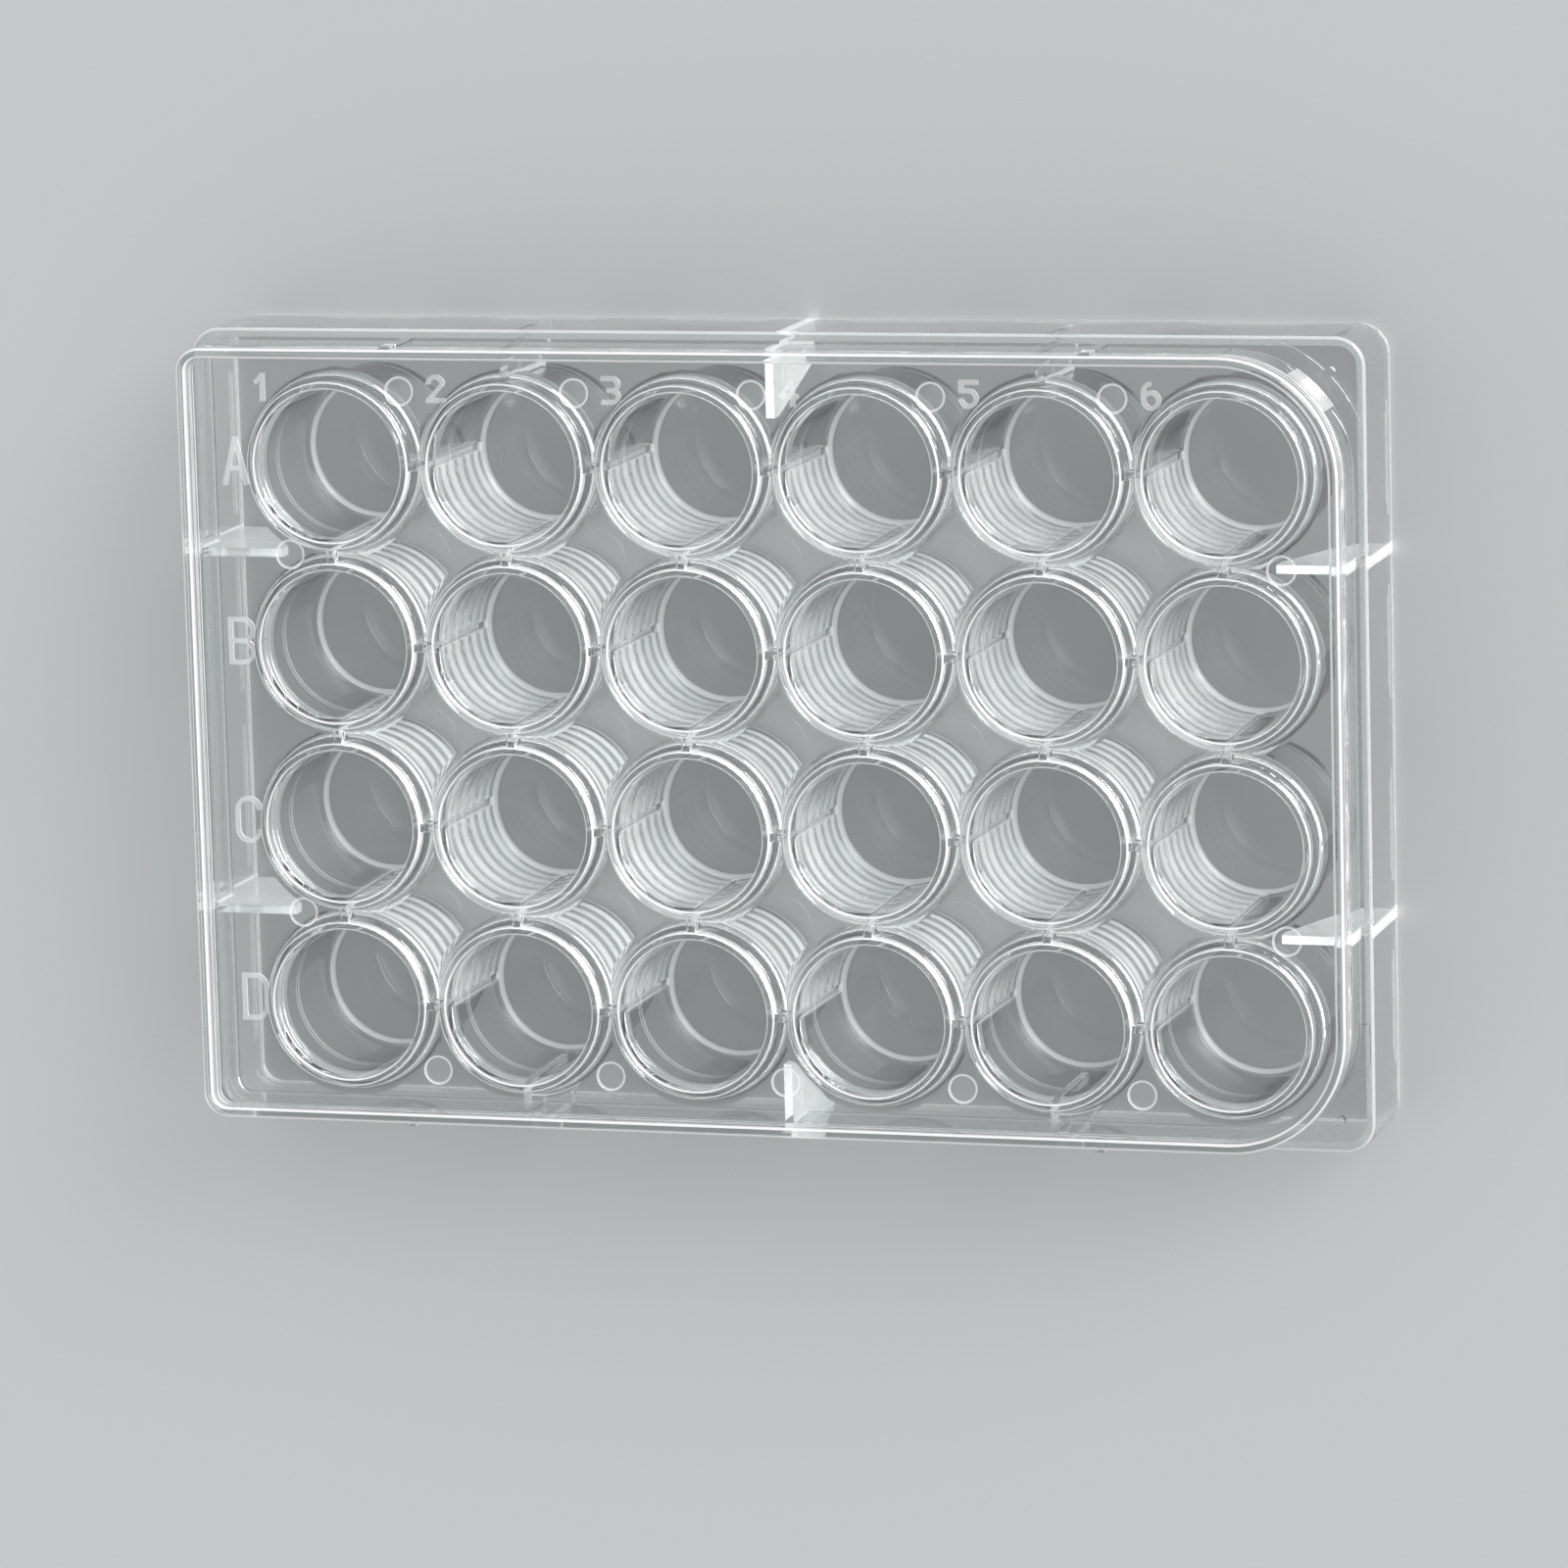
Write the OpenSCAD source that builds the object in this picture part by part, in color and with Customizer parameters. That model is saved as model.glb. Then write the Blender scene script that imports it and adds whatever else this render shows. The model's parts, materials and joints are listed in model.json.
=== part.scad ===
// 24-well culture plate, moulded in one piece of clear polystyrene.
// It lies as it is used: base on the XY plane, well mouths up, row A towards +Y
// and column 1 towards -X. The origin is the centre of the base's underside.

/* [Base] */
// Length of the base along a row of wells, X
plate_l = 127.76; // [126.5:0.01:160]
// Width of the base along a column of wells, Y
plate_w = 85.48; // [85:0.01:110]
// Overall height, from the base to the top of the frame wall
plate_h = 20.3; // [20.1:0.1:28]
// Radius of the base's four upright corners
base_corner_r = 3.2; // [2:0.1:6]
// Thickness of the skirt around the base
skirt_t = 1.05; // [0.8:0.05:1.2]
// Height of the ledge that a lid would rest on
ledge_z = 12.1; // [8:0.1:13]
// Thickness of the ledge
ledge_t = 1.1; // [0.8:0.1:2]
// Rounding of the ledge's outer edge
ledge_edge_r = 0.4; // [0.1:0.05:0.6]

/* [Frame wall] */
// Distance of the frame wall behind the skirt's outer face
frame_inset = 1.25; // [1:0.05:1.5]
// Thickness of the frame wall
frame_t = 1.1; // [0.8:0.05:1.3]
// Radius of the frame wall's two small corners, beside column 1
frame_small_r = 2.6; // [1.5:0.1:5]
// Radius of the frame wall's two large corners, beside the last column
frame_large_r = 12.6; // [8:0.1:13]
// Rounding of the frame wall's two top edges
frame_edge_r = 0.3; // [0.1:0.05:0.35]
// Width of the low step around the foot of the two large corners
step_w = 1.6; // [1:0.1:2]
// Height of that step above the ledge
step_h = 0.5; // [0.2:0.1:1.5]

/* [Wells] */
// Number of columns, along X
columns = 6; // [2:1:6]
// Number of rows, along Y
rows = 4; // [2:1:4]
// Gap between the outer walls of neighbouring wells
well_gap = 1.4; // [0.8:0.05:1.7]
// Distance from the base's edge to the centre of column 1
column_offset = 17.46; // [16.5:0.01:17.6]
// Inner diameter of a well at its mouth
mouth_d = 16.26; // [12:0.02:16.3]
// How much narrower a well is at its floor than at its mouth
well_draft = 0.64; // [0.1:0.02:1]
// Thickness of a well's wall at its mouth
well_wall_t = 0.82; // [0.6:0.02:0.86]
// Depth of a well, from the rim to the floor
well_depth = 17.4; // [10:0.1:17.6]
// Thickness of a well's floor
floor_t = 1.25; // [0.9:0.05:1.3]
// Distance of the rims below the top of the frame wall
rim_drop = 1.1; // [0.5:0.1:1.2]
// Rounding of a rim's two edges
rim_edge_r = 0.18; // [0.05:0.01:0.25]
// Rounding between a well's wall and its floor, inside
floor_edge_r = 0.5; // [0.2:0.1:1.5]
// Rounding of a well's outer bottom edge
foot_edge_r = 0.7; // [0.2:0.1:0.8]

/* [Deck] */
// Distance of the deck's top face below the rims
deck_drop = 1.4; // [1:0.1:2.5]
// Thickness of the deck
deck_t = 1.5; // [1.2:0.1:2]
// Fillet between the wells and the deck's top face
deck_fillet_r = 0.5; // [0.2:0.05:0.6]
// Fillet between the wells and the deck's underside
under_fillet_r = 1.4; // [0.6:0.1:2]

/* [Webs and gussets] */
// Thickness of the webs that join neighbouring wells
web_t = 0.9; // [0.6:0.1:1.4]
// Distance of the webs' top edges below the rims
web_drop = 0.3; // [0.25:0.05:1]
// Thickness of the gussets under the deck
gusset_t = 0.9; // [0.6:0.05:1.4]
// Reach of the gussets beside column 1, from the frame wall
reach_first = 9; // [4:0.1:10]
// Reach of the gussets beside the last column, from the frame wall
reach_last = 6.2; // [3:0.1:7]
// Reach of the gussets in the middle of the long sides, from the frame wall
reach_middle = 6.1; // [3:0.1:7]
// Height of a long gusset's upright inner end, below the deck
gusset_end_h = 1.7; // [1:0.1:3]
// Width of a long gusset at its foot, from the skirt
gusset_foot_w = 3.2; // [2:0.1:3.5]
// Height of the gussets' feet above the base
gusset_foot_z = 1; // [0.5:0.1:2]
// Height of a short gusset's inner end above the base
short_gusset_z = 4; // [3:0.1:8]

/* [Lid guides] */
// Width of the four ribs on the outside of the frame wall
rib_w = 1.2; // [0.8:0.1:2]
// How far the ribs stand out from the frame wall
rib_out = 0.3; // [0.1:0.05:0.4]
// Distance between the two ribs on each long side
rib_spacing = 75.6; // [40:0.1:80]
// Shift of the ribs' midpoint from the centre of the base, along X
rib_shift = -1.55; // [-5:0.05:5]
// Diameter of the two stops on the ledge, at the large corners
stop_d = 1; // [0.6:0.1:1.2]
// Distance of the stops' centres from the frame wall
stop_away = 1.9; // [1.6:0.1:2.4]
// Height of the stops above the ledge
stop_h = 1; // [0.6:0.1:2]

/* [Marks] */
// Height of the row letters
letter_h = 5.1; // [3.4:0.1:6]
// Width of the row letters
letter_w = 3; // [2.4:0.1:3.2]
// Height of the column numbers
number_h = 3; // [2.4:0.1:3.2]
// Width of the column numbers
number_w = 2.1; // [1.6:0.1:2.3]
// Width of the raised strokes
stroke_w = 0.5; // [0.3:0.05:0.6]
// Height of the raised strokes above the deck
stroke_h = 0.25; // [0.1:0.05:0.6]
// Gap between the letters and the wells of column 1
letter_gap = 0.2; // [0:0.05:1]
// Rise of the letters' centres above the centres of the rows, along Y
letter_rise = 0.3; // [-1:0.1:1]
// Distance of the numbers' centres from the columns' centres, along X
number_offset_x = 7.3; // [7.1:0.1:7.8]
// Distance of the numbers' centres from the centres of row A, along Y
number_offset_y = 8.2; // [8.1:0.1:8.8]
// Diameter of the small ejector-pin marks on the deck
pin_mark_d = 3.2; // [2:0.1:3.6]
// Distance of the pin marks from row A's centres, along Y
pin_offset_first = 7.85; // [7:0.05:8.2]
// Distance of the pin marks from the last row's centres, along Y
pin_offset_last = 7.1; // [7:0.05:8.2]
// Shift of row A's pin marks from the gaps between the columns, along X
pin_shift = -1.8; // [-2.5:0.1:0]
// Distance of the side pin marks from the centres of column 1, along X
side_pin_first = 4.95; // [4.8:0.05:8]
// Distance of the side pin marks from the last column's centres, along X
side_pin_last = 6; // [4.8:0.05:8]
// Diameter of the ejector-pin marks under the deck, between four wells
gap_mark_d = 6; // [3:0.1:6.2]
// Depth of the pin marks
mark_h = 0.12; // [0.05:0.01:0.3]

/* [Hidden] */
$fn = 96;
EPS = 0.01;
CLEAR = [0.86, 0.93, 0.93, 0.5];

// Heights
rim_z = plate_h - rim_drop;
deck_z = rim_z - deck_drop;
deck_under_z = deck_z - deck_t;
ledge_under_z = ledge_z - ledge_t;
floor_z = rim_z - well_depth;
well_under_z = floor_z - floor_t;
web_top_z = rim_z - web_drop;
web_foot_z = well_under_z + foot_edge_r;

// Half sizes of the base and of the frame wall's outer face
base_x = plate_l / 2;
base_y = plate_w / 2;
frame_x = base_x - frame_inset;
frame_y = base_y - frame_inset;

// Corner radii, anticlockwise from the corner at +X +Y
BASE_RADII = [for (k = [0 : 3]) base_corner_r];
FRAME_RADII = [frame_large_r, frame_small_r, frame_small_r, frame_large_r];
CORNERS = [[1, 1], [-1, 1], [-1, -1], [1, -1]];

// Wells: their radii, the first one's place and the last one's numbers
mouth_r = mouth_d / 2;
floor_r = mouth_r - well_draft / 2;
outer_r = mouth_r + well_wall_t;
well_lap = well_wall_t / 2;
pitch = 2 * outer_r + well_gap;
first_x = column_offset - base_x;
first_y = (rows - 1) * pitch / 2;
last_column = columns - 1;
last_row = rows - 1;
middle_gap = floor(columns / 2) - 1;

function column_x(column) = first_x + column * pitch;
function row_y(row) = first_y - row * pitch;
function gap_x(column) = column_x(column) + pitch / 2;
function gap_y(row) = row_y(row) - pitch / 2;
function shrunk(radii, inward) = [for (r = radii) r - inward];

// ---- Outlines and sweeps -------------------------------------------------

// A rectangle of half sizes x and y, with its own radius at each corner
module outline(x, y, radii) {
    difference() {
        square([2 * x, 2 * y], center = true);
        for (k = [0 : 3])
            translate([CORNERS[k][0] * (x - radii[k]), CORNERS[k][1] * (y - radii[k])])
                rotate(90 * k)
                    difference() {
                        square(radii[k] + EPS);
                        circle(radii[k]);
                    }
    }
}

// Sweeps a section around that outline. The section's X is the distance
// inward from the outline and its Y is the height.
module sweep(x, y, radii) {
    for (k = [0 : 3]) {
        next = (k + 1) % 4;
        reach = k % 2 == 0 ? y : x;
        half = k % 2 == 0 ? x : y;
        rotate([0, 0, 90 * (k + 1)])
            translate([reach, half - radii[next], 0])
                mirror([1, 0, 0])
                    rotate([90, 0, 0])
                        linear_extrude(2 * half - radii[k] - radii[next])
                            children();
        translate([CORNERS[k][0] * (x - radii[k]), CORNERS[k][1] * (y - radii[k]), 0])
            rotate([0, 0, 90 * k])
                rotate_extrude(angle = 90)
                    translate([radii[k], 0])
                        mirror([1, 0])
                            children();
    }
}

// ---- Frame ---------------------------------------------------------------

module skirt_section() {
    square([skirt_t, ledge_z - ledge_edge_r]);
    translate([ledge_edge_r, 0])
        square([skirt_t - ledge_edge_r, ledge_z]);
    translate([ledge_edge_r, ledge_z - ledge_edge_r])
        circle(ledge_edge_r);
}

module frame_section() {
    translate([0, ledge_under_z])
        square([frame_t, plate_h - frame_edge_r - ledge_under_z]);
    translate([frame_edge_r, ledge_under_z])
        square([frame_t - 2 * frame_edge_r, plate_h - ledge_under_z]);
    for (x = [frame_edge_r, frame_t - frame_edge_r])
        translate([x, plate_h - frame_edge_r])
            circle(frame_edge_r);
}

module skirt() {
    color(CLEAR)
        sweep(base_x, base_y, BASE_RADII)
            skirt_section();
}

module ledge() {
    skirt_mid = skirt_t / 2;
    wall_mid = frame_t / 2;
    color(CLEAR)
        translate([0, 0, ledge_under_z])
            linear_extrude(ledge_t)
                difference() {
                    outline(base_x - skirt_mid, base_y - skirt_mid, shrunk(BASE_RADII, skirt_mid));
                    outline(frame_x - wall_mid, frame_y - wall_mid, shrunk(FRAME_RADII, wall_mid));
                }
}

module frame_wall() {
    color(CLEAR)
        sweep(frame_x, frame_y, FRAME_RADII)
            frame_section();
}

// Places children at the axis of each large corner, with +X along its diagonal
module at_large_corners() {
    for (side = [-1, 1])
        translate([frame_x - frame_large_r, side * (frame_y - frame_large_r), 0])
            rotate([0, 0, side * 45])
                children();
}

// A low step around the foot of the large corners, cut off at the ledge's edge
module corner_steps() {
    lap = ledge_t / 2;
    color(CLEAR)
        intersection() {
            translate([0, 0, ledge_z - lap])
                linear_extrude(lap + step_h)
                    outline(base_x - ledge_edge_r, base_y - ledge_edge_r,
                            shrunk(BASE_RADII, ledge_edge_r));
            at_large_corners()
                rotate([0, 0, -45])
                    rotate_extrude(angle = 90)
                        translate([frame_large_r - frame_t / 2, ledge_z - lap])
                            square([frame_t / 2 + step_w, lap + step_h]);
        }
}

module lid_stops() {
    color(CLEAR)
        at_large_corners()
            translate([frame_large_r + stop_away, 0, ledge_z - ledge_t / 2])
                cylinder(d = stop_d, h = ledge_t / 2 + stop_h);
}

module lid_ribs() {
    lap = frame_t / 3;
    foot_z = ledge_z - ledge_t / 2;
    color(CLEAR)
        for (side = [-1, 1], end = [-1, 1])
            translate([rib_shift + end * rib_spacing / 2, side * frame_y, foot_z])
                mirror([0, side < 0 ? 1 : 0, 0])
                    translate([-rib_w / 2, -lap, 0])
                        cube([rib_w, rib_out + lap, plate_h - frame_edge_r - foot_z]);
}

// ---- Wells ---------------------------------------------------------------

module at_wells() {
    for (column = [0 : last_column], row = [0 : last_row])
        translate([column_x(column), row_y(row), 0])
            children();
}

// A concave fillet in a section, in the corner at the origin towards +X +Y
module fillet(radius, lap) {
    difference() {
        translate([-lap, -lap])
            square(radius + lap);
        translate([radius, radius])
            circle(radius);
    }
}

// Outside of a well, with its fillets above and below the deck
module well_body() {
    lap = deck_t / 3;
    color(CLEAR)
        rotate_extrude() {
            translate([0, well_under_z + foot_edge_r])
                square([outer_r, rim_z - rim_edge_r - well_under_z - foot_edge_r]);
            translate([0, well_under_z])
                square([outer_r - foot_edge_r, rim_z - rim_edge_r - well_under_z]);
            translate([outer_r - foot_edge_r, well_under_z + foot_edge_r])
                circle(foot_edge_r);
            translate([0, deck_z])
                square([outer_r - rim_edge_r, deck_drop]);
            translate([outer_r - rim_edge_r, rim_z - rim_edge_r])
                circle(rim_edge_r);
            translate([outer_r, deck_z])
                fillet(deck_fillet_r, lap);
            translate([outer_r, deck_under_z])
                mirror([0, 1])
                    fillet(under_fillet_r, lap);
        }
}

// Inside of a well: a slight draft, a rounded floor edge and a rounded mouth
module well_cavity() {
    rotate_extrude() {
        difference() {
            polygon([
                [0, floor_z],
                [floor_r - floor_edge_r, floor_z],
                [floor_r - floor_edge_r, floor_z + floor_edge_r],
                [floor_r, floor_z + floor_edge_r],
                [mouth_r, rim_z - rim_edge_r],
                [mouth_r + rim_edge_r, rim_z - rim_edge_r],
                [mouth_r + rim_edge_r, plate_h],
                [0, plate_h],
            ]);
            translate([mouth_r + rim_edge_r, rim_z - rim_edge_r])
                circle(rim_edge_r);
        }
        translate([floor_r - floor_edge_r, floor_z + floor_edge_r])
            circle(floor_edge_r);
    }
}

// A web across the narrow gap between two wells, centred on the origin
module web() {
    length = well_gap + 2 * well_lap;
    color(CLEAR)
        translate([-length / 2, -web_t / 2, web_foot_z])
            cube([length, web_t, web_top_z - web_foot_z]);
}

module webs() {
    for (column = [0 : last_column - 1], row = [0 : last_row])
        translate([gap_x(column), row_y(row), 0])
            web();
    for (column = [0 : last_column], row = [0 : last_row - 1])
        translate([column_x(column), gap_y(row), 0])
            rotate([0, 0, 90])
                web();
}

// ---- Deck and gussets ----------------------------------------------------

module deck() {
    wall_mid = frame_t / 2;
    color(CLEAR)
        translate([0, 0, deck_under_z])
            linear_extrude(deck_t)
                outline(frame_x - wall_mid, frame_y - wall_mid, shrunk(FRAME_RADII, wall_mid));
}

// An upright gusset under the deck. Its X runs inward from the skirt's inner
// face: foot_w and tip are its ends there, and end_z is its inner end's height.
module gusset(foot_w, tip, end_z) {
    lap = skirt_t / 3;
    wall_mid = frame_inset + frame_t / 2 - skirt_t;
    top_z = deck_under_z + deck_t / 3;
    color(CLEAR)
        rotate([90, 0, 0])
            linear_extrude(gusset_t, center = true)
                polygon([
                    [-lap, gusset_foot_z],
                    [foot_w, gusset_foot_z],
                    [tip, end_z],
                    [tip, top_z],
                    [wall_mid, top_z],
                    [wall_mid, ledge_under_z + lap],
                    [-lap, ledge_under_z + lap],
                ]);
}

// A gusset that reaches under the deck, between two wells
module long_gusset(reach) {
    gusset(gusset_foot_w, frame_inset + frame_t - skirt_t + reach, deck_under_z - gusset_end_h);
}

module long_gussets() {
    side_gaps = last_row > 1 ? [0, last_row - 1] : [0];
    for (row = side_gaps) {
        translate([skirt_t - base_x, gap_y(row), 0])
            long_gusset(reach_first);
        translate([base_x - skirt_t, gap_y(row), 0])
            rotate([0, 0, 180])
                long_gusset(reach_last);
    }
    for (side = [-1, 1])
        translate([gap_x(middle_gap), side * (base_y - skirt_t), 0])
            rotate([0, 0, -90 * side])
                long_gusset(reach_middle);
}

// Gussets from the skirt to a well's own wall, on the long sides
module short_gussets() {
    tip = base_y - skirt_t - first_y - outer_r + well_lap;
    for (side = [-1, 1], column = [1, last_column - 1])
        translate([column_x(column), side * (base_y - skirt_t), 0])
            rotate([0, 0, -90 * side])
                gusset(0, tip, short_gusset_z);
}

// ---- Marks ---------------------------------------------------------------

// A shallow round recess, cut both ways from the face that it lies in
module pin_mark(diameter) {
    cylinder(d = diameter, h = 2 * mark_h, center = true);
}

module pin_marks() {
    side_gaps = last_row > 1 ? [0, last_row - 1] : [0];
    for (column = [0 : last_column - 1]) {
        translate([gap_x(column) + pin_shift, first_y + pin_offset_first, deck_z])
            pin_mark(pin_mark_d);
        translate([gap_x(column), -first_y - pin_offset_last, deck_z])
            pin_mark(pin_mark_d);
    }
    for (row = side_gaps, x = [first_x - side_pin_first, column_x(last_column) + side_pin_last])
        translate([x, gap_y(row), deck_z])
            pin_mark(pin_mark_d);
    for (column = [0 : last_column - 1], row = [0 : last_row - 1])
        translate([gap_x(column), gap_y(row), deck_under_z])
            pin_mark(gap_mark_d);
}

// A straight stroke, drawn past both its ends by lap
module line(from, to, lap = 0) {
    run = to - from;
    translate(from)
        rotate(atan2(run[1], run[0]))
            translate([-lap, -stroke_w / 2])
                square([norm(run) + 2 * lap, stroke_w]);
}

// A quarter of a ring-shaped stroke, anticlockwise from the given quarter turn
module quarter(centre, radius, turn) {
    translate(centre)
        rotate(90 * turn)
            intersection() {
                difference() {
                    circle(radius + stroke_w / 2);
                    circle(radius - stroke_w / 2);
                }
                square(radius + stroke_w);
            }
}

// A letter or a number in the middle of its own box
module glyph(name, width, height) {
    end = stroke_w / 2;
    x = width / 2 - end;
    y = height / 2 - end;
    bowl = y / 2;
    if (name == "A") {
        line([-x, -y - end], [0, y + end]);
        line([0, y + end], [x, -y - end]);
        line([-x * 2 / 3, -y / 3], [x * 2 / 3, -y / 3]);
    }
    if (name == "B" || name == "D")
        line([-x, -y], [-x, y], end);
    if (name == "B" || name == "3")
        for (side = [-1, 1]) {
            line([-x - end, side * y], [x - bowl, side * y]);
            for (turn = [0, 3])
                quarter([x - bowl, side * bowl], bowl, turn);
        }
    if (name == "B" || name == "3")
        line([-x * (name == "B" ? 1 : 0.5), 0], [x - bowl, 0]);
    if (name == "C") {
        for (turn = [0, 1])
            quarter([0, y - x], x, turn);
        for (turn = [2, 3])
            quarter([0, x - y], x, turn);
    }
    if (name == "C" || name == "6")
        line([-x, x - y], [-x, y - x]);
    if (name == "D") {
        for (side = [-1, 1])
            line([-x, side * y], [0, side * y]);
        quarter([0, y - x], x, 0);
        quarter([0, x - y], x, 3);
        line([x, x - y], [x, y - x]);
    }
    if (name == "1") {
        line([0, -y], [0, y], end);
        line([0, y], [-x, y - x]);
    }
    if (name == "2") {
        for (turn = [0, 1])
            quarter([0, y - x], x, turn);
        line([x, y - x], [-x, -y]);
        line([-x, -y], [x, -y], end);
    }
    if (name == "4") {
        line([x / 2, -y], [x / 2, y], end);
        line([x / 2, y], [-x, -y / 3]);
        line([-x, -y / 3], [x, -y / 3], end);
    }
    if (name == "5") {
        line([x, y], [-x, y], end);
        line([-x, y], [-x, 2 * x - y], end);
        line([-x, 2 * x - y], [0, 2 * x - y]);
        for (turn = [2, 3, 0])
            quarter([0, x - y], x, turn);
    }
    if (name == "6") {
        for (turn = [0 : 3])
            quarter([0, x - y], x, turn);
        quarter([0, y - x], x, 1);
    }
}

module raised_glyph(name, width, height) {
    lap = deck_t / 3;
    color(CLEAR)
        translate([0, 0, deck_z - lap])
            linear_extrude(stroke_h + lap)
                glyph(name, width, height);
}

module letters() {
    for (row = [0 : last_row])
        translate([first_x - outer_r - letter_gap - letter_w / 2, row_y(row) + letter_rise, 0])
            raised_glyph("ABCD"[row], letter_w, letter_h);
}

module numbers() {
    for (column = [0 : last_column])
        translate([column_x(column) - number_offset_x, first_y + number_offset_y, 0])
            raised_glyph("123456"[column], number_w, number_h);
}

// ---- Plate ---------------------------------------------------------------

module plate() {
    skirt();
    ledge();
    frame_wall();
    corner_steps();
    lid_stops();
    lid_ribs();
    long_gussets();
    short_gussets();
    letters();
    numbers();
    difference() {
        union() {
            deck();
            webs();
            at_wells() well_body();
        }
        at_wells() well_cavity();
        pin_marks();
    }
}

plate();
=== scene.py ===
"""Looks of a clear polystyrene 24-well culture plate: its plastic, the floor, the light and the camera."""
import json
import math

import bpy
from mathutils import Matrix, Vector


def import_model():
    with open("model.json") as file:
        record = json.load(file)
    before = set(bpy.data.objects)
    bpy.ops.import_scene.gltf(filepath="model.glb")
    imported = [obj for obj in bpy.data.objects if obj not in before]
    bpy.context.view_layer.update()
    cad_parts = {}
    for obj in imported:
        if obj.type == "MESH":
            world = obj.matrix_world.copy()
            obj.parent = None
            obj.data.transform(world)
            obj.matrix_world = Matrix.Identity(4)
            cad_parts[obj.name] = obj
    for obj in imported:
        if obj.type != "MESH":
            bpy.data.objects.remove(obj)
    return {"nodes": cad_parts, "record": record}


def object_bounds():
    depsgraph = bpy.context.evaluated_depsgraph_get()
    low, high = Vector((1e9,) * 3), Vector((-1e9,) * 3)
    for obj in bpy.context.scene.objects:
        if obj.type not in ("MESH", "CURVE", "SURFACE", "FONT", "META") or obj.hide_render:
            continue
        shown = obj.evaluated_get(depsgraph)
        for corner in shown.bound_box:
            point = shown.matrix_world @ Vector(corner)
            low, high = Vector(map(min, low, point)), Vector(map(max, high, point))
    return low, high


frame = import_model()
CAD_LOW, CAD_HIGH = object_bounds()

MM = 0.001

# ---- Sizes of the plate ----------------------------------------------------

WELL_GAP = 1.4 * MM
WALL_T = 0.82 * MM
WELL_DEPTH = 17.4 * MM
FLOOR_EDGE_R = 0.5 * MM
WEB_T = 0.9 * MM
LEDGE_H = 12.1 * MM
DECK_T = 1.5 * MM
STROKE_H = 0.25 * MM
MARK_DEPTH = 0.12 * MM

# How far the rims lie below the frame wall's top, and the deck below the rims
RIM_DROP = 1.1 * MM
DECK_DROP = 1.4 * MM

# The round pin marks on the deck, and the width of the line round each
PIN_R = 1.6 * MM
PIN_LINE = 0.25 * MM

# Distances of the pin marks beyond the axes of the first and last rows and columns of wells. Those beyond
# the first row are shifted from the middles of the gaps.
PIN_ROW_FIRST = 7.85 * MM
PIN_ROW_LAST = 7.1 * MM
PIN_SIDE_FIRST = 4.95 * MM
PIN_SIDE_LAST = 6.0 * MM
PIN_SHIFT = 1.8 * MM

# ---- Places that follow the frame ------------------------------------------

# Each opening of the record is the space inside one well
WELLS = [
    (Vector(opening["box_m"][0]) + Vector(opening["box_m"][1])) / 2
    for opening in frame["record"]["physics"]["openings"]
]
GRID_CENTRE = sum(WELLS, Vector()) / len(WELLS)
GRID_HALF_X = max(well.x for well in WELLS) - GRID_CENTRE.x
GRID_HALF_Y = max(well.y for well in WELLS) - GRID_CENTRE.y
PITCH = min((well - WELLS[0]).length for well in WELLS[1:])
WELL_OUTER_R = (PITCH - WELL_GAP) / 2
WELL_INNER_R = WELL_OUTER_R - WALL_T
FRAME_TOP = CAD_HIGH.z
RIM_TOP = FRAME_TOP - RIM_DROP
FLOOR_TOP = RIM_TOP - WELL_DEPTH
DECK_TOP = RIM_TOP - DECK_DROP
DECK_UNDER = DECK_TOP - DECK_T
STROKE_TOP = DECK_TOP + STROKE_H
LEDGE_TOP = CAD_LOW.z + LEDGE_H


# ---- Node helpers ----------------------------------------------------------

class Nodes:
    """A material's node tree, with short ways to add and join nodes."""

    def __init__(self, tree):
        self.tree = tree
        tree.nodes.clear()

    def set(self, socket, value):
        if isinstance(value, bpy.types.NodeSocket):
            self.tree.links.new(value, socket)
        else:
            socket.default_value = value

    def add(self, kind, inputs=None, **settings):
        node = self.tree.nodes.new(kind)
        for name, value in settings.items():
            setattr(node, name, value)
        for name, value in (inputs or {}).items():
            self.set(node.inputs[name], value)
        return node

    def math(self, operation, *values):
        node = self.tree.nodes.new("ShaderNodeMath")
        node.operation = operation
        for socket, value in zip(node.inputs, values):
            self.set(socket, value)
        return node.outputs[0]

    def total(self, *values):
        result = values[0]
        for value in values[1:]:
            result = self.math("ADD", result, value)
        return result

    def both(self, *values):
        result = values[0]
        for value in values[1:]:
            result = self.math("MULTIPLY", result, value)
        return result

    def noise(self, coordinates, scale, detail=0.0, roughness=0.5):
        return self.add(
            "ShaderNodeTexNoise",
            {"Vector": coordinates, "Scale": scale, "Detail": detail, "Roughness": roughness},
        ).outputs["Fac"]

    def band(self, value, low, high, to_low=0.0, to_high=1.0):
        """Maps low..high to to_low..to_high, and stays at the ends beyond."""
        ends = {"From Min": low, "From Max": high, "To Min": to_low, "To Max": to_high}
        return self.add("ShaderNodeMapRange", {"Value": value, **ends}).outputs["Result"]


# ---- Places on the plate ---------------------------------------------------

# A face's slope is the size of its normal's Z: 0 on an upright face, 1 on a level one. A face counts as
# level above the first of these, and as upright up to the second, fading out by the third.
LEVEL_SLOPE = 0.98
UPRIGHT_SLOPE = 0.3
SLANTED_SLOPE = 0.7

# How far from its own height, radius or middle a face still counts
HEIGHT_REACH = 0.03 * MM
WALL_REACH = 0.45 * WALL_T
GUSSET_REACH = 0.6 * MM
DECK_REACH = 0.2 * MM
OFF_WELL = 0.2 * MM

# A top edge fades in between the first two depths below its height, and ends the third above it
EDGE_START = 0.5 * MM
EDGE_FULL = 0.1 * MM
EDGE_END = 0.05 * MM

# Height of the painted highlight strip along the foot of the skirt
SKIRT_FOOT = 0.5 * MM

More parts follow.
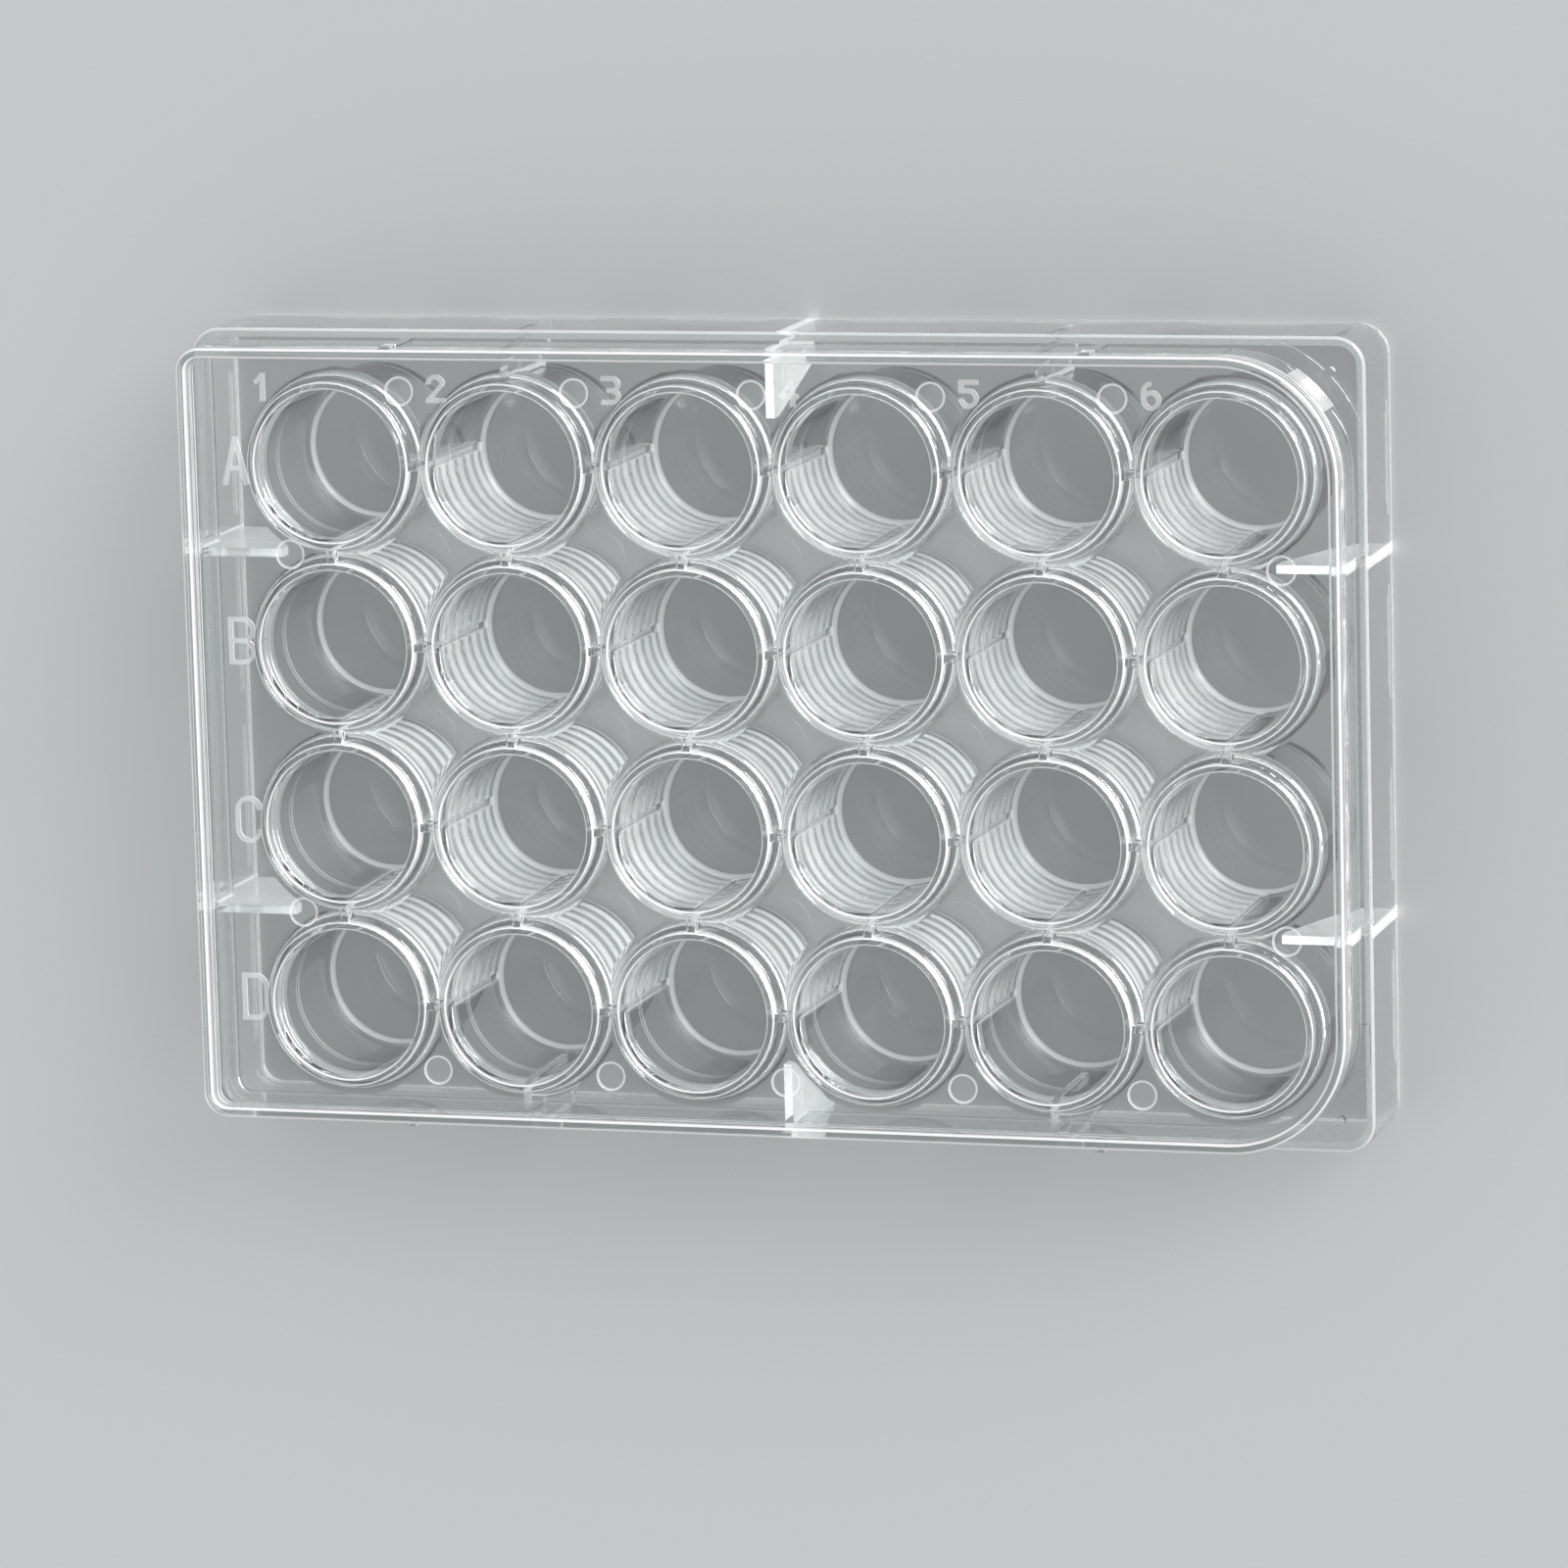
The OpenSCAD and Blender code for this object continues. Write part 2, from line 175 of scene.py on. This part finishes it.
# Keeps the small steps' sides apart from the level faces above and below them
STEP_MARGIN = 0.02 * MM


class Places(Nodes):
    """Where on the plate a point lies."""

    def __init__(self, tree):
        super().__init__(tree)
        self.point = self.add("ShaderNodeTexCoord").outputs["Object"]
        split = self.add("ShaderNodeSeparateXYZ", {"Vector": self.point})
        self.x, self.y, self.z = (split.outputs[axis] for axis in "XYZ")
        normal = self.add("ShaderNodeNewGeometry").outputs["True Normal"]
        facing = self.add("ShaderNodeSeparateXYZ", {"Vector": normal}).outputs["Z"]
        slope = self.math("ABSOLUTE", facing)
        self.level = self.math("GREATER_THAN", slope, LEVEL_SLOPE)
        self.not_level = self.math("SUBTRACT", 1.0, self.level)
        self.upright = self.band(slope, UPRIGHT_SLOPE, SLANTED_SLOPE, 1.0, 0.0)
        self.from_x = self.math("ABSOLUTE", self.math("SUBTRACT", self.x, GRID_CENTRE.x))
        self.from_y = self.math("ABSOLUTE", self.math("SUBTRACT", self.y, GRID_CENTRE.y))
        self.off_x = self.from_axis(self.x, WELLS[0].x)
        self.off_y = self.from_axis(self.y, WELLS[0].y)
        squares = self.total(self.both(self.off_x, self.off_x), self.both(self.off_y, self.off_y))
        self.radius = self.math("SQRT", squares)
        self.off_well = self.math("GREATER_THAN", self.radius, WELL_OUTER_R + OFF_WELL)
        self.within_grid = self.in_grid(PITCH / 2)
        self.beyond_grid = self.math("SUBTRACT", 1.0, self.within_grid)
        self.below_deck = self.math("LESS_THAN", self.z, DECK_UNDER + DECK_REACH)

    def from_axis(self, value, centre):
        """Distance along X or Y from the axis of the well whose square of the grid this is."""
        across = self.math("WRAP", value, centre + PITCH / 2, centre - PITCH / 2)
        return self.math("ABSOLUTE", self.math("SUBTRACT", across, centre))

    def in_grid(self, reach):
        """The rectangle through the outermost wells' axes, grown by reach."""
        return self.both(
            self.math("LESS_THAN", self.from_x, GRID_HALF_X + reach),
            self.math("LESS_THAN", self.from_y, GRID_HALF_Y + reach),
        )

    def near_height(self, at, reach=HEIGHT_REACH):
        return self.math("COMPARE", self.z, at, reach)

    def level_at(self, height):
        return self.both(self.near_height(height), self.level)

    def top_of(self, at):
        return self.both(
            self.band(self.z, at - EDGE_START, at - EDGE_FULL),
            self.math("LESS_THAN", self.z, at + EDGE_END),
        )

    def gap_walls(self):
        """The quarters of the wells' outsides that face the gaps between four wells."""
        outside = self.math("COMPARE", self.radius, WELL_OUTER_R, WALL_REACH)
        return self.both(outside, self.upright, self.in_grid(0.0))

    def ribs(self):
        """The webs between the wells, and the six long gussets between the skirt and the grid."""
        webs = self.both(self.off_well, self.within_grid)
        beside = self.both(
            self.math("COMPARE", self.from_y, PITCH, GUSSET_REACH),
            self.math("GREATER_THAN", self.from_x, GRID_HALF_X),
        )
        ahead = self.both(
            self.math("LESS_THAN", self.from_x, GUSSET_REACH),
            self.math("GREATER_THAN", self.from_y, GRID_HALF_Y),
        )
        gussets = self.math("MAXIMUM", beside, ahead)
        return self.both(self.math("MAXIMUM", webs, gussets), self.upright, self.below_deck)

    def web_roots(self):
        """The strips of a well's inside that have a web behind them."""
        # An outermost well has no web on its outer side
        reach = WELL_INNER_R / 2
        along_x = self.both(
            self.math("LESS_THAN", self.off_y, WEB_T / 2),
            self.math("LESS_THAN", self.from_x, GRID_HALF_X + reach),
        )
        along_y = self.both(
            self.math("LESS_THAN", self.off_x, WEB_T / 2),
            self.math("LESS_THAN", self.from_y, GRID_HALF_Y + reach),
        )
        inside = self.math("COMPARE", self.radius, WELL_INNER_R, WALL_REACH)
        strips = self.both(inside, self.math("MAXIMUM", along_x, along_y), self.upright)
        return self.both(strips, self.below_deck)

    def rim_edges(self):
        """The rounded top edges of the wells and of the frame wall."""
        tops = self.math("MAXIMUM", self.top_of(RIM_TOP), self.top_of(FRAME_TOP))
        return self.both(tops, self.not_level)

    def skirt_edges(self):
        """The ledge's rounded edge, and the foot of the skirt."""
        return self.math(
            "MAXIMUM",
            self.both(self.top_of(LEDGE_TOP), self.not_level),
            self.both(self.math("LESS_THAN", self.z, CAD_LOW.z + SKIRT_FOOT), self.beyond_grid),
        )

    def floor_edges(self):
        """The rounded edge of each well's floor."""
        return self.both(
            self.near_height(FLOOR_TOP + FLOOR_EDGE_R / 2, FLOOR_EDGE_R / 2),
            self.math("LESS_THAN", self.radius, WELL_INNER_R),
            self.not_level,
        )

    def outlines(self):
        """The small steps round the raised strokes and the pin marks."""
        middle = (STROKE_TOP + DECK_TOP - MARK_DEPTH) / 2
        reach = (STROKE_TOP - DECK_TOP + MARK_DEPTH) / 2 - STEP_MARGIN
        clear_of_wells = self.math("MAXIMUM", self.off_well, self.beyond_grid)
        return self.both(self.near_height(middle, reach), self.upright, clear_of_wells)

    def from_pin(self):
        """Distance from the middle of the nearest pin mark."""
        along_rows = self.add("ShaderNodeCombineXYZ", {"X": self.off_x, "Y": self.y}).outputs["Vector"]
        along_sides = self.add("ShaderNodeCombineXYZ", {"X": self.x, "Y": self.from_y}).outputs["Vector"]
        marks = (
            (along_rows, PITCH / 2 - PIN_SHIFT, GRID_CENTRE.y + GRID_HALF_Y + PIN_ROW_FIRST),
            (along_rows, PITCH / 2, GRID_CENTRE.y - GRID_HALF_Y - PIN_ROW_LAST),
            (along_sides, GRID_CENTRE.x - GRID_HALF_X - PIN_SIDE_FIRST, PITCH),
            (along_sides, GRID_CENTRE.x + GRID_HALF_X + PIN_SIDE_LAST, PITCH),
        )
        distances = []
        for place, x, y in marks:
            ends = {0: place, 1: (x, y, 0.0)}
            distances.append(self.add("ShaderNodeVectorMath", ends, operation="DISTANCE").outputs["Value"])
        nearest = distances[0]
        for distance in distances[1:]:
            nearest = self.math("MINIMUM", nearest, distance)
        return nearest


# ---- Clear plastic ---------------------------------------------------------

CLEAR = (0.985, 0.995, 0.992, 1.0)
IOR = 1.59

# The plastic's own tint, which grows with the depth of plastic that light crosses
TINT = (0.74, 0.9, 0.88, 1.0)
TINT_DENSITY = 9.0

# What a face lets through of a lamp's light
LAMP_PASS = (0.95, 0.955, 0.955, 1.0)

# How much of the surface scatters light instead of letting it through. Most of these paint light in as a pale
# scattering (painted sheen, painted reflections, painted highlights); on the pin marks and strokes it is the
# mould's matt
# A faint painted sheen on all upright faces
WALL_PAINTED_SHEEN = 0.03
# Painted reflections on the walls between four wells, and in pale bands on them
GAP_WALL_PAINTED_REFLECTION = 0.16
RING_PAINTED_REFLECTION = 0.72
# Painted highlights on the webs and gussets
RIB_PAINTED_HIGHLIGHT = 0.78
# Painted highlights on the rounded top edges of the rims and the frame wall, and on the ledge's edge and
# skirt's foot
RIM_EDGE_PAINTED_HIGHLIGHT = 0.6
SKIRT_EDGE_PAINTED_HIGHLIGHT = 0.35
# A painted highlight where a web stands behind a well's wall
ROOT_PAINTED_HIGHLIGHT = 0.35
# A painted highlight on the rounded edge of each well's floor
FLOOR_EDGE_PAINTED_HIGHLIGHT = 0.4
# Painted highlights on the small steps round the strokes and pin marks
OUTLINE_PAINTED_HIGHLIGHT = 0.9
STROKE_MILK = 0.3
PIN_MILK = 0.06
# A painted highlight round the rim of each pin mark
PIN_LINE_PAINTED_HIGHLIGHT = 0.4
GAP_PIN_MILK = 0.02

# The rings' spacing, and where along their wave the paler band starts and is full; the paler bands are
# painted reflections of the neighbouring wells
RING_PITCH = 2.6 * MM
RING_START = -0.7
RING_FULL = 0.5

# Large patches, which make the haze and the painted sheen, reflections and highlights on walls and ribs
# uneven. A band is two values of the noise, and the two that they become.
PATCH_SCALE = 120.0
PATCH_DETAIL = 2.0
PATCH_ROUGHNESS = 0.6
PAINTED_LIGHT_BAND = (0.3, 0.7, 0.6, 1.0)
HAZE_BAND = (0.45, 0.75, 0.015, 0.06)

# Fine scuffs near the base, and the roughness that the pin marks and the strokes' tops add
GRAIN_SCALE = 2000.0
GRAIN_DETAIL = 1.0
GRAIN_ROUGHNESS = 0.6
SCUFF_TOP = 2.5 * MM
SCUFF = 0.12
MATT = 0.1

# The bump of the slow ripple and of the rings
RIPPLE_SCALE = 110.0
RING_BUMP = 0.3
BUMP_STRENGTH = 0.5
BUMP_DEPTH = 0.05 * MM


def milk_and_painted_light(at, patches, pins, strokes, gap_walls, wave):
    """How milky each place is, which mostly paints light in: painted highlights on the ribs, edges and
    outlines, painted reflections and sheen on the walls, the mould's matt on the pin marks and strokes, and
    plain faces hardly any.
    """
    # Pale bands on the walls between four wells: a painted reflection
    painted_reflection_rings = at.both(gap_walls, at.band(wave, RING_START, RING_FULL))
    gap_pins = at.level_at(DECK_UNDER + MARK_DEPTH)
    on_pin_line = at.math("GREATER_THAN", at.from_pin(), PIN_R - PIN_LINE)
    # Painted sheen, reflections and highlights on the walls, web roots and ribs, made uneven by the patches
    uneven = at.total(
        at.both(at.upright, WALL_PAINTED_SHEEN),
        at.both(gap_walls, GAP_WALL_PAINTED_REFLECTION),
        at.both(painted_reflection_rings, RING_PAINTED_REFLECTION),
        at.both(at.ribs(), RIB_PAINTED_HIGHLIGHT),
        at.both(at.web_roots(), ROOT_PAINTED_HIGHLIGHT),
    )
    # Painted highlights on the rounded edges, the floors' edges, the outlines and the pin marks' rims; the
    # strokes and pin marks themselves are matt from the mould
    return at.total(
        at.both(at.band(patches, *PAINTED_LIGHT_BAND), uneven),
        at.both(at.rim_edges(), RIM_EDGE_PAINTED_HIGHLIGHT),
        at.both(at.skirt_edges(), SKIRT_EDGE_PAINTED_HIGHLIGHT),
        at.both(at.floor_edges(), FLOOR_EDGE_PAINTED_HIGHLIGHT),
        at.both(at.outlines(), OUTLINE_PAINTED_HIGHLIGHT),
        at.both(strokes, STROKE_MILK),
        at.both(pins, PIN_MILK),
        at.both(pins, on_pin_line, PIN_LINE_PAINTED_HIGHLIGHT),
        at.both(gap_pins, GAP_PIN_MILK),
    )


def roughness(at, patches, pins, strokes):
    """A thin haze from handling, fine scuffs near the base, and the faces left matt by the mould."""
    haze = at.band(patches, *HAZE_BAND)
    grain = at.noise(at.point, GRAIN_SCALE, GRAIN_DETAIL, GRAIN_ROUGHNESS)
    scuff = at.both(at.band(at.z, CAD_LOW.z, CAD_LOW.z + SCUFF_TOP, SCUFF, 0.0), grain)
    return at.total(haze, scuff, at.both(at.total(pins, strokes), MATT))


def moulding(at, gap_walls, wave):
    """The normal of the polished faces, with a slow ripple and the rings."""
    relief = at.total(at.noise(at.point, RIPPLE_SCALE), at.both(gap_walls, wave, RING_BUMP))
    bump = at.add("ShaderNodeBump", {"Height": relief, "Strength": BUMP_STRENGTH, "Distance": BUMP_DEPTH})
    return bump.outputs["Normal"]


def clear_polystyrene():
    material = bpy.data.materials.new("clear_polystyrene")
    material.use_nodes = True
    at = Places(material.node_tree)
    pins = at.level_at(DECK_TOP - MARK_DEPTH)
    strokes = at.level_at(STROKE_TOP)
    gap_walls = at.gap_walls()
    wave = at.math("SINE", at.math("MULTIPLY", at.z, 2 * math.pi / RING_PITCH))
    patches = at.noise(at.point, PATCH_SCALE, PATCH_DETAIL, PATCH_ROUGHNESS)
    # Milkiness that is mostly painted light (highlights, reflections and sheen); only on the pin marks and
    # strokes is it the mould's matt
    milkiness_and_painted_light = milk_and_painted_light(at, patches, pins, strokes, gap_walls, wave)
    plastic = at.add(
        "ShaderNodeBsdfPrincipled",
        {
            "Base Color": CLEAR,
            "Roughness": roughness(at, patches, pins, strokes),
            "IOR": IOR,
            "Transmission Weight": at.band(milkiness_and_painted_light, 0.0, 1.0, 1.0, 0.0),
            "Normal": moulding(at, gap_walls, wave),
        },
    )
    # Lamps shine through to the floor, a little weaker at each face
    lit = at.add("ShaderNodeBsdfTransparent", {"Color": LAMP_PASS})
    path = at.add("ShaderNodeLightPath")
    surface = at.add("ShaderNodeMixShader", {"Fac": path.outputs["Is Shadow Ray"]})
    at.set(surface.inputs[1], plastic.outputs["BSDF"])
    at.set(surface.inputs[2], lit.outputs["BSDF"])
    tint = at.add("ShaderNodeVolumeAbsorption", {"Color": TINT, "Density": TINT_DENSITY})
    at.add(
        "ShaderNodeOutputMaterial",
        {"Surface": surface.outputs["Shader"], "Volume": tint.outputs["Volume"]},
    )
    return material


# ---- Floor and light -------------------------------------------------------

FLOOR_COLOUR = (0.48, 0.485, 0.49, 1.0)
FLOOR_ROUGHNESS = 0.9
FLOOR_RADIUS = 3.0
FLOOR_SIDES = 96
FLOOR_GAP = 0.05 * MM

WORLD_COLOUR = (1.0, 1.0, 1.0, 1.0)
WORLD_STRENGTH = 0.5

# Each lamp's name, the direction it lies in, its spread in degrees and its strength
LAMPS = (
    ("key", (0.8, 0.65, 0.5), 34.0, 4.2),
    ("fill", (-0.8, -0.45, 0.4), 28.0, 0.85),
)


def floor():
    material = bpy.data.materials.new("floor")
    material.use_nodes = True
    shader = material.node_tree.nodes["Principled BSDF"]
    shader.inputs["Base Color"].default_value = FLOOR_COLOUR
    shader.inputs["Roughness"].default_value = FLOOR_ROUGHNESS
    shader.inputs["Specular IOR Level"].default_value = 0.0
    place = (0, 0, CAD_LOW.z - FLOOR_GAP)
    bpy.ops.mesh.primitive_circle_add(
        vertices=FLOOR_SIDES, radius=FLOOR_RADIUS, fill_type="NGON", location=place
    )
    disc = bpy.context.object
    disc.name = "floor"
    disc.data.materials.append(material)


def soft_sun(name, towards, spread, strength):
    """A distant round softbox that lies in the direction towards, and lights the whole floor evenly."""
    light = bpy.data.lights.new(name, "SUN")
    light.energy = strength
    light.angle = math.radians(spread)
    lamp = bpy.data.objects.new(name, light)
    bpy.context.scene.collection.objects.link(lamp)
    lamp.rotation_mode = "QUATERNION"
    lamp.rotation_quaternion = Vector(towards).to_track_quat("Z", "Y")


def world():
    studio = bpy.data.worlds.new("studio")
    bpy.context.scene.world = studio
    studio.use_nodes = True
    shade = studio.node_tree.nodes["Background"]
    shade.inputs["Color"].default_value = WORLD_COLOUR
    shade.inputs["Strength"].default_value = WORLD_STRENGTH


# ---- Camera and view -------------------------------------------------------

# Turns from straight down, in radians, and the camera's place from the middle of the rims, along its own axes
CAMERA_YAW = 0.2890
CAMERA_PITCH = 0.1753
CAMERA_ROLL = -0.0269
CAMERA_OFFSET = Vector((1.16, -3.81, 820.98)) * MM

# Lens and sensor in millimetres, clipping in metres
CAMERA_LENS = 180.74
CAMERA_SENSOR = 36.0
CAMERA_NEAR = 0.05
CAMERA_FAR = 20.0

# A ray meets many clear faces on its way through the plate
BOUNCES = 18
GLOSSY_BOUNCES = 8
SHADOW_FACES = 32


def camera():
    data = bpy.data.cameras.new("camera")
    data.sensor_width = CAMERA_SENSOR
    data.lens = CAMERA_LENS
    data.clip_start = CAMERA_NEAR
    data.clip_end = CAMERA_FAR
    view = bpy.data.objects.new("camera", data)
    bpy.context.scene.collection.objects.link(view)
    turn = (
        Matrix.Rotation(CAMERA_YAW, 3, "Y")
        @ Matrix.Rotation(-CAMERA_PITCH, 3, "X")
        @ Matrix.Rotation(CAMERA_ROLL, 3, "Z")
    )
    aim = Vector((GRID_CENTRE.x, GRID_CENTRE.y, RIM_TOP))
    view.matrix_world = Matrix.Translation(aim + turn @ CAMERA_OFFSET) @ turn.to_4x4()
    bpy.context.scene.camera = view


def plain_view():
    scene = bpy.context.scene
    scene.view_settings.view_transform = "Standard"
    scene.cycles.max_bounces = BOUNCES
    scene.cycles.transmission_bounces = BOUNCES
    scene.cycles.glossy_bounces = GLOSSY_BOUNCES
    scene.cycles.transparent_max_bounces = SHADOW_FACES
    scene.cycles.use_light_tree = False
    scene.cycles.caustics_refractive = False
    scene.cycles.caustics_reflective = False


plate = frame["nodes"]["plate"]
plate.data.materials.clear()
plate.data.materials.append(clear_polystyrene())
floor()
world()
for lamp in LAMPS:
    soft_sun(*lamp)
camera()
plain_view()
